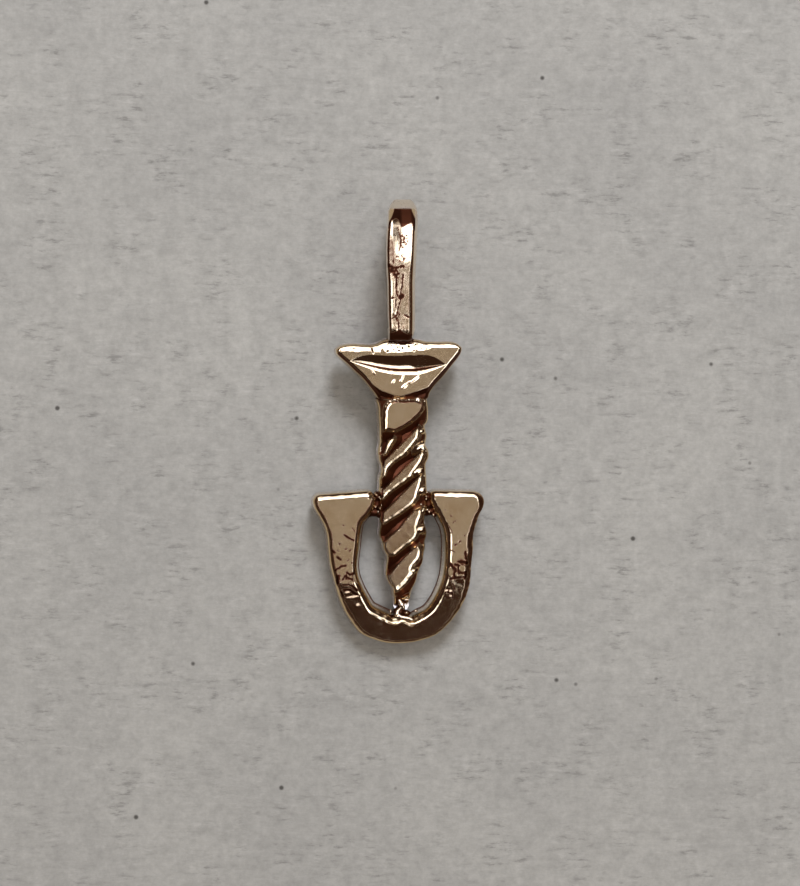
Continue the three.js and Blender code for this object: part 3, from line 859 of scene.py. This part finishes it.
def head_face(places, inside, facing):
    x, y = places.T
    height = head_height + 0.005 * ripple(places, 0.9, 11)
    # the sides and the foot, rolled over below the line face_low
    dark = by_side(facing, (180, 0.12), (225, 0.2), (270, 0.05), (315, 0.22), (360, 0.12))
    bright = by_side(
        facing, (0, 0.08), (60, 0.05), (120, 0.01), (240, 0.01), (300, 0.05), (325, 0.07)
    )
    turned = np.interp(x, *face_low.T) - y
    side_drop = roll(inside, dark, bright) + 0.48 * np.clip(turned, 0, 0.3)
    # the bevel towards the loop, rough above bevel_line
    past_bevel = np.clip(y - np.interp(x, *bevel_line.T), 0, None)
    top_roll = np.interp(
        x, [-1.2, -0.9, -0.2, 0, 0.5, 0.7, 1.2, 1.7], [0.06, 0.12, 0.12, 0.2, 0.2, 0.12, 0.12, 0.07]
    )
    top_drop = 0.13 * past_bevel + roll(inside, top_roll, 0.06)
    top_drop += 0.013 * ripple(places, 0.22, 17) * grown(past_bevel, 0.1)
    above = np.interp(x, *head_top.T) - y < inside + 0.05
    height -= np.where(above, top_drop, side_drop)
    # the slot: a steep lower wall, a floor and a long rise to its upper edge
    upper, lower = np.interp(x, *slot_upper.T), np.interp(x, *slot_lower.T)
    wide = np.clip(upper - lower, 0.02, None)
    within = (x > -2.9) & (x < 2.56)
    scale = np.clip(wide, 0.05, 1)
    up = (y - lower) / scale
    floor_end = np.interp(x, [0.5, 0.9], [0.42, 0.27])
    floor_depth = np.interp(floor_end, [0.27, 0.42], [0.19, 0.225])
    deep = np.interp(up, [-0.1, 0.07, 0.2, 0.27, 0.42], [0, 0.037, 0.185, 0.19, 0.225])
    rising = np.clip(floor_depth * (1 - up) / (1 - floor_end), 0, None)
    height -= np.where(within, np.where(up < floor_end, deep, rising) * scale, 0)
    # painted shade: the slot's floor, a line along the rolled foot of the face, weaker in the
    # middle, and the pits
    face_shade = np.interp(up, [0.07, 0.1, 0.22, 0.27], [0, 0.9, 0.9, 0]) * np.clip(wide * 3, 0, 1)
    edge_line = np.clip(turned / 0.04 + 0.5, 0, 0.9) * ~above
    edge_line *= np.interp(x, [-0.5, -0.35, 0.15, 0.35], [1, 0.45, 0.45, 1])
    face_shade = np.maximum(np.where(within, face_shade, 0), edge_line)
    for *oval, depth in head_pits:
        pit = blot(places, *oval)
        height -= depth * pit
        face_shade = np.maximum(face_shade, 0.8 * pit)
    for cx, cy, long, short, turn, tall in head_streaks:
        streak = np.clip(1 - off_oval(places, cx, cy, 1.4 * long, 1.5 * short, turn), 0, 1)
        height += 0.38 * tall * streak * (1 + 0.4 * ripple(places, 0.1, 4))
    return height, face_shade


def head_draft(edge, outward):
    return np.full(len(edge), 0.12)


head_rows = between(head_low, head_top, 0.03, 110)
casting("screw_head_casting", "screw_head", head_rows, head_face, head_draft, flat_back)

# Hanging loop
# A flat strap of gold bent into a tall ring that stands on the head, its hole running from side to
# side. The strap's front was pinched and dented when it was closed and soldered.
strap_width = 1.48
strap_thickness = 0.7
loop_line = hundredths(
    2, 1772, 65, 1766, 125, 1766, 176, 1774, 196, 1792, 203, 1830, 205, 1920, 209, 2020, 212.5,
    2120, 216.5, 2230, 217, 2330, 210, 2405, 193, 2460, 155, 2490, 105, 2502, 48, 2494, 5, 2460,
    -22, 2370, -48, 2240, -67, 2120, -74.5, 2000, -76.5, 1900, -74, 1830, -60, 1790, -25, 1776, 15,
    1772, 65,
)
loop_steps = 400
section_steps = 110
around = flowing(loop_line, np.linspace(0, len(loop_line) - 1, loop_steps))[:-1]
line_data = bpy.data.curves.new("loop_line", "CURVE")
line_data.dimensions = "3D"
line_spline = line_data.splines.new("POLY")
line_spline.points.add(len(around) - 1)
for point, (y, z) in zip(line_spline.points, around):
    point.co = (0, y, z, 1)
line_spline.use_cyclic_u = True


def plain_mesh(holder):
    """The mesh that a holder shows with its modifiers. The holder is then taken away."""
    shown = holder.evaluated_get(bpy.context.evaluated_depsgraph_get())
    mesh = bpy.data.meshes.new_from_object(shown)
    holder.modifiers.clear()
    bpy.data.objects.remove(holder)
    return mesh


def places_of(mesh):
    """Its corners as they stand, one row each."""
    places = np.empty(len(mesh.vertices) * 3)
    mesh.vertices.foreach_get("co", places)
    return places.reshape(-1, 3)


strap_look = gold("scuffed gold", (0.83, 0.63, 0.37), (0.79, 0.57, 0.32), 0.17, 0.1)
sweep = bpy.data.node_groups.new("strap sweep", "GeometryNodeTree")
for way in ("INPUT", "OUTPUT"):
    sweep.interface.new_socket("Geometry", in_out=way, socket_type="NodeSocketGeometry")
sizes = {}
for label, kind, value in (
    ("outer_width", "Float", strap_width),
    ("inner_width", "Float", strap_width + 0.14),
    ("thickness", "Float", strap_thickness),
    ("edge_radius", "Float", 0.05),
    ("finish", "Material", strap_look),
):
    socket = sweep.interface.new_socket(label, in_out="INPUT", socket_type="NodeSocket" + kind)
    sizes[socket.identifier] = value
step = Nodes(sweep)
given = step.add("NodeGroupInput").outputs
section = step.made(
    "GeometryNodeCurvePrimitiveQuadrilateral", {"mode": "TRAPEZOID"}, Offset=0,
    Bottom_Width=given["inner_width"], Top_Width=given["outer_width"], Height=given["thickness"],
)
section = step.made(
    "GeometryNodeFilletCurve", {"mode": "POLY"}, Curve=section, Radius=given["edge_radius"], Count=6
)
section = step.made("GeometryNodeResampleCurve", Curve=section, Count=section_steps)
swept = step.made("GeometryNodeCurveToMesh", Curve=given["Geometry"], Profile_Curve=section)
whole = step.made("GeometryNodeRealizeInstances", Geometry=swept)
dressed = step.made("GeometryNodeSetMaterial", Geometry=whole, Material=given["finish"])
step.add("NodeGroupOutput", Geometry=dressed)
holder = placed("hanging_loop_source", line_data)
bending = holder.modifiers.new("bending", "NODES")
bending.node_group = sweep
for key, value in sizes.items():
    bending[key] = value
strap_mesh = plain_mesh(holder)
strap_mesh.name = "hanging_loop"

# Creases pressed into the strap's front: a share of painted shade, then in hundredths of a
# millimetre half width, depth (negative stands up) and corners as x, y, x, y ... Then nicks that
# get
# more painted shade: x, y, half length, half width and turn in radians.
strap_creases = [
    (1, 11, 0.4, -80, 2160, -45, 2140, -2, 2152), (1, 7, 0.3, -66, 2120, -36, 2128, -22, 2110),
    (0.45, 11, 0.2, 5, 2152, 52, 2144), (0, 7.5, -1.1, -53, 2086, -53, 1985),
    (1, 6.5, 0.3, -35, 2105, -37, 2030, -32, 1985), (0, 4.5, -0.7, -12, 2072, -24, 1998),
    (1, 5.5, 0.3, 2, 2105, -4, 2045, -12, 1998), (0, 7, -0.7, 14, 2110, 18, 2020),
    (0.45, 8, 0.2, 38, 2120, 36, 1890), (0, 7.5, -1.1, -52, 1962, -50, 1889),
    (0, 4.5, -0.7, -22, 1966, -42, 1892), (1, 4.5, 0.2, -38, 1962, -42, 1920),
    (1, 5, 0.3, -12, 1965, -28, 1910, -32, 1875), (0.9, 5, 1.2, 10, 1878, 42, 1861),
    (0, 3.5, -0.6, 11, 1858, 11, 1775), (0.8, 2.5, 0.2, 4, 1850, 3, 1800),
    (0, 6, -0.6, -8, 1862, -7, 1795), (1, 5, 0.3, -24, 1850, -20, 1795),
    (0, 10, -1, -46, 1832, -36, 1790), (0.8, 5, 0.3, -30, 2367, -8, 2300, -22, 2244),
    (0.6, 6, 0.2, -62, 2290, -50, 2170),
]
strap_nicks = hundredths(
    5, -8, 1982, 20, 15, 60, -56, 1974, 10, 5, 20, 27, 1870, 12, 6, -40, -45, 2105, 14, 10, -60,
    -62, 2130, 12, 16, 10, -36, 1860, 5, 12, 10, -52, 1862, 10, 4, 50, -20, 1882, 9, 3, -30, -22,
    1820, 4, 14, 20, 5, 2300, 5, 4, 70, 18, 2275, 7, 3, 90, 0, 2260, 6, 3, 30, 20, 2325, 6, 3, 50,
    -35, 2205, 6, 4, 50, 5, 2195, 4, 6, 50, -55, 2180, 5, 12, 10,
)
# How far the front has been hammered back along its left side and over the rest: y, then drop
front_left = hundredths(2, 2150, 0, 2300, -5, 2325, -4.5, 2410, 5, 2450, 27, 2490, 55)
front_rest = hundredths(2, 2150, 0, 2175, 0, 2390, 13, 2440, 40, 2490, 70)
# Where the painted dark reflection of the turned-over top begins: x, y
top_dark = hundredths(
    2, -80, 2360, -62, 2405, -39, 2418, -24, 2407, -10, 2366, 7, 2372, 29, 2385, 50, 2395, 60, 2350,
)
x, y, z = places_of(strap_mesh).T
# which corners lie on the strap's front, on the ring's back and near the hole
run = np.roll(around, -1, axis=0) - np.roll(around, 1, axis=0)
outward = np.column_stack([-run[:, 1], run[:, 0]]) / np.linalg.norm(run, axis=1)[:, None]
seen_along = np.column_stack([y, z])
near = [np.argmin(np.sum((around - corner) ** 2, axis=1)) for corner in seen_along]
off_middle = np.sum((seen_along - around[near]) * outward[near], axis=1)
in_front = grown(off_middle, 0.25) * np.interp(around[near, 1], [0.5, 0.9], [0, 1])
behind = grown(0.9 - z, 0.5)
deep_in = np.clip(0.5 - off_middle / strap_thickness, 0, 1)
face_line = around + outward * strap_thickness / 2
face_line = face_line[(around[:, 1] > 0.45) & (around[:, 0] > 18)]
face_line = face_line[np.argsort(face_line[:, 0])]

# the strap widens towards its top, leans a little and shows more of its right flank
narrow = np.interp(
    y, [17.4, 17.9, 18.8, 20.6, 21.5, 22.4, 23.4, 24.3, 24.7, 25, 25.2, 25.4],
    [0.86, 0.885, 0.92, 0.93, 0.99, 1.03, 1.04, 1.01, 1, 0.93, 0.8, 0.6],
) * (1 - 0.1 * behind)
aside = np.interp(
    y, [17.9, 19, 21.5, 22.4, 23.4, 24.6, 25.2], [-0.075, -0.1, -0.14, -0.13, -0.1, 0, 0.1]
)
aside += 0.05 * deep_in + 0.09 * behind + 0.09 * deep_in * grown(2 * x, strap_width)
across = x * narrow + aside
flat = np.column_stack([across, y])

# dents and painted shade: rolled edges, creases and nicks
dent = roll(strap_width / 2 - x, np.interp(y, [21, 22.5], [0.22, 0.1]), 0.02)
dent += roll(strap_width / 2 + x, np.interp(y, [21, 22], [0.15, 0.13]), 0.02)
strap_shades = []
frayed = np.clip(0.85 + 1.1 * ripple(flat, 0.14, 57), 0.2, 1.7)
for dark_share, *crease in strap_creases:
    wide, deep, *line = np.array(crease) / 100
    off_line = from_line(flat, *line)
    dent += deep * np.exp(-(off_line / wide) ** 2)
    pressed = np.exp(-(off_line / (wide * frayed)) ** 2)
    strap_shades.append(np.clip(1.6 * dark_share * pressed, 0, dark_share))
for oval in strap_nicks:
    nick = blot(flat, *oval)
    dent += 0.004 * nick
    strap_shades.append(np.clip(1.6 * nick, 0, 1))

# a crumbled place low on its left and another further up, painted with shade in their puckers, then
# fine cracked lines of painted shade, without relief, over the crinkled skin above them
puckers = ripple(flat, 0.13, 51)
crumpled = blot(flat, -0.32, 18.68, 0.42, 0.34, 0) + 0.8 * blot(flat, -0.25, 20.95, 0.42, 0.3, 0)
dent += 0.004 * crumpled * puckers
strap_shades.append(crumpled * np.clip((puckers - 0.08) / 0.15, 0, 0.95))
pinched = np.interp(y, [21.6, 22, 23.4, 23.8], [0, 1, 1, 0])
dent += 0.002 * pinched * ripple(flat, 0.16, 71)
shaded_crinkles = blot(flat, 0, 23, 0.34, 0.42, 0) + blot(flat, -0.12, 21.95, 0.28, 0.25, 0)
crinkle_shade_lines = grown(ripple(flat, 0.12, 91) - 0.05, 0.08)
strap_shades.append(shaded_crinkles * crinkle_shade_lines)

# the hammered top: it drops by the two lines, its corners are turned well down, and its turned-over
# top and a patch on its left flank get a painted dark reflection
to_right = np.interp(across, [-0.6, -0.05], [0, 1])
drop = np.interp(y, *front_left.T) * (1 - to_right) + np.interp(y, *front_rest.T) * to_right
past_dark = grown(y - np.interp(across, *top_dark.T), 0.07)
over_top = past_dark * grown(24.8 - y, 0.05)
over_top *= np.interp(across, [-0.15, 0, 0.45, 0.52], [0.97, 0.85, 0.85, 0.97])
flank = 0.6 * blot(flat, -0.76, 22.5, 0.8, 0.3, 1.57) * (1 + 0.5 * ripple(flat, 0.2, 33))
strap_shades += [over_top, flank]
hammered = np.interp(y, *face_line.T) - np.interp(21.5, *face_line.T) + drop
dent += np.interp(y, [21.4, 21.6, 24.8, 25], [0, 1, 1, 0]) * hammered
shoulder = np.interp(y, [23.8, 24.3, 24.7], [0.9, 0.62, 0.47])
past_shoulder = grown(np.abs(across - 0.03) - shoulder - 0.02, 0.04)
dent += 1.15 * np.clip(np.abs(across) - shoulder, 0, None)

# its foot and a line inside each edge get painted shade, and its sides and crown are walls that get
# a pale painted reflection
foot_dark = np.interp(
    across, [-0.7, -0.3, -0.1, 0.05, 0.3, 0.6], [17.78, 17.9, 17.98, 17.84, 17.72, 17.74]
)
strap_shades.append(np.clip((foot_dark - y) / 0.05, 0, 0.9))
off_line = np.abs(strap_width / 2 - np.abs(x) - 0.075)
outline = np.clip(1.3 - off_line / 0.06, 0, 0.95) * np.interp(y, [23.4, 24.2], [1, 0.3])
on_side = grown(np.abs(x) - strap_width / 2 + 0.03, 0.03) * (deep_in > 0.06)
strap_shades.append(outline)
shade_reach = in_front * (1 - on_side) * (1 - past_shoulder)
puckered = np.interp(y, [21.3, 21.6, 23.2, 23.8], [0.03, 0.4, 0.4, 0]) * in_front
give(strap_mesh, "crinkle", puckered)
give(strap_mesh, "painted_shade", np.max(strap_shades, axis=0) * shade_reach)
give(strap_mesh, "wall", np.maximum(on_side, grown(y - 24.7, 0.15)))
strap = np.column_stack([flat, z - dent * in_front])
strap_mesh.vertices.foreach_set("co", laid(strap).reshape(-1))
piece_of("hanging_loop", strap_mesh, strap_look, "bail")

# Solder
# Lumps of gold solder flowed into the joints and left as they froze: a crumbly seam at the neck,
# a fill either side of the shank, a blob at the screw's point and a fillet at the loop's foot.
solder_look = gold("solder gold", (0.84, 0.64, 0.4), (0.74, 0.52, 0.3), 0.12, 0.3)
grain_size = 0.022


def lumps(name, node, blobs, crumbs):
    """Round lumps melted into one, each as x, y, z and three radii in hundredths of a millimetre.
    The crumbs are left bright; the body between them gets painted shade.
    """
    body = bmesh.new()
    crumbs = np.array(crumbs) / 100
    for x, y, z, *radii in [*np.array(blobs) / 100, *crumbs]:
        place = Matrix.Translation((x, y, z)) @ Matrix.Diagonal((*radii, 1))
        bmesh.ops.create_icosphere(body, subdivisions=3, radius=1, matrix=place)
    mesh = bpy.data.meshes.new(name)
    body.to_mesh(mesh)
    body.free()
    holder = placed(name + "_source", mesh)
    melt = holder.modifiers.new("melt", "REMESH")
    melt.mode = "VOXEL"
    melt.voxel_size = grain_size
    ease = holder.modifiers.new("ease", "SMOOTH")
    ease.iterations = 5
    melted = plain_mesh(holder)
    places = places_of(melted)
    off_crumbs = [np.linalg.norm((places - crumb[:3]) / crumb[3:], axis=1) for crumb in crumbs]
    # painted shade on the body between the crumbs
    give(melted, "painted_shade", np.clip((np.min(off_crumbs, axis=0) - 1.2) / 0.5, 0, 0.9))
    melted.vertices.foreach_set("co", laid(places).reshape(-1))
    piece_of(name, melted, solder_look, node)


lumps("neck_seam", "neck_solder", [
    (-100, 1398, 60, 40, 16, 55), (-45, 1398, 60, 40, 15, 58), (20, 1398, 60, 45, 15, 58),
    (80, 1398, 60, 40, 15, 58), (115, 1398, 60, 32, 15, 52),
], [
    (-86, 1356, 136, 5, 9, 7), (-76, 1372, 140, 7, 8, 7), (-62, 1386, 142, 17, 10, 9),
    (-36, 1395, 142, 17, 9, 9), (-16, 1386, 142, 8, 5, 6), (5, 1394, 142, 6, 6, 6),
    (30, 1390, 141, 5, 4, 6), (46, 1394, 140, 7, 10, 7), (96, 1393, 143, 21, 18, 9),
    (108, 1380, 138, 10, 9, 7), (136, 1386, 125, 8, 8, 8), (-15, 1402, 133, 14, 4, 6),
])
lumps("left_leg_fill", "left_leg_solder", [
    (-128, 835, 55, 26, 32, 50), (-130, 790, 50, 30, 38, 48), (-145, 746, 52, 40, 28, 34),
    (-178, 734, 48, 26, 20, 36), (-115, 734, 42, 22, 24, 34),
], [
    (-144, 858, 114, 6, 6, 8), (-134, 848, 116, 7, 6, 8), (-120, 836, 117, 8, 6, 8),
    (-112, 826, 117, 8, 5, 8), (-150, 824, 108, 12, 12, 10), (-164, 812, 112, 11, 4, 7),
    (-106, 788, 100, 5, 12, 9), (-114, 768, 97, 6, 10, 9), (-124, 750, 90, 6, 10, 8),
    (-156, 762, 90, 7, 8, 7), (-140, 776, 95, 5, 6, 6),
])
lumps("right_leg_fill", "right_leg_solder", [
    (162, 835, 55, 26, 32, 50), (166, 790, 50, 32, 38, 48), (178, 752, 52, 40, 28, 34),
    (210, 734, 48, 26, 20, 36), (155, 742, 42, 22, 24, 34),
], [
    (152, 863, 114, 16, 5, 8), (150, 840, 114, 6, 7, 8), (150, 824, 113, 7, 7, 8),
    (122, 794, 112, 11, 7, 8), (146, 778, 104, 9, 8, 9), (158, 762, 100, 10, 8, 9),
    (170, 748, 93, 7, 8, 8), (194, 730, 86, 6, 9, 6),
])
lumps("tip_blob", "tip_solder", [
    (8, 215, 52, 25, 36, 38), (5, 172, 52, 40, 34, 40), (5, 135, 50, 45, 30, 38),
    (42, 160, 62, 28, 18, 24),
], [
    (0, 238, 95, 9, 10, 6), (7, 225, 97, 14, 14, 7), (15, 212, 98, 16, 16, 8),
    (22, 199, 97, 14, 13, 7), (8, 193, 95, 13, 6, 7), (-2, 185, 95, 9, 9, 7),
    (-10, 173, 96, 13, 13, 7), (-12, 158, 97, 16, 16, 7), (-3, 147, 98, 18, 15, 7),
    (10, 141, 98, 18, 13, 7), (26, 138, 98, 18, 13, 7), (42, 135, 98, 18, 13, 7),
    (58, 132, 98, 17, 12, 7), (72, 126, 98, 10, 10, 7), (-49, 172, 80, 7, 16, 12),
    (95, 175, 78, 14, 8, 10), (42, 166, 88, 8, 7, 6),
])
lumps("loop_foot", "bail_solder", [
    (-45, 1730, 70, 42, 20, 55), (0, 1726, 78, 48, 22, 60), (50, 1728, 72, 38, 20, 58),
    (-80, 1720, 70, 25, 13, 42), (85, 1720, 70, 25, 13, 42), (15, 1722, 100, 36, 18, 38),
    (-20, 1738, 110, 34, 14, 30), (30, 1740, 110, 30, 13, 30),
], [
    (-62, 1716, 126, 16, 5, 8), (-34, 1714, 130, 14, 5, 8), (66, 1716, 126, 10, 6, 8),
    (90, 1712, 124, 12, 5, 7),
])
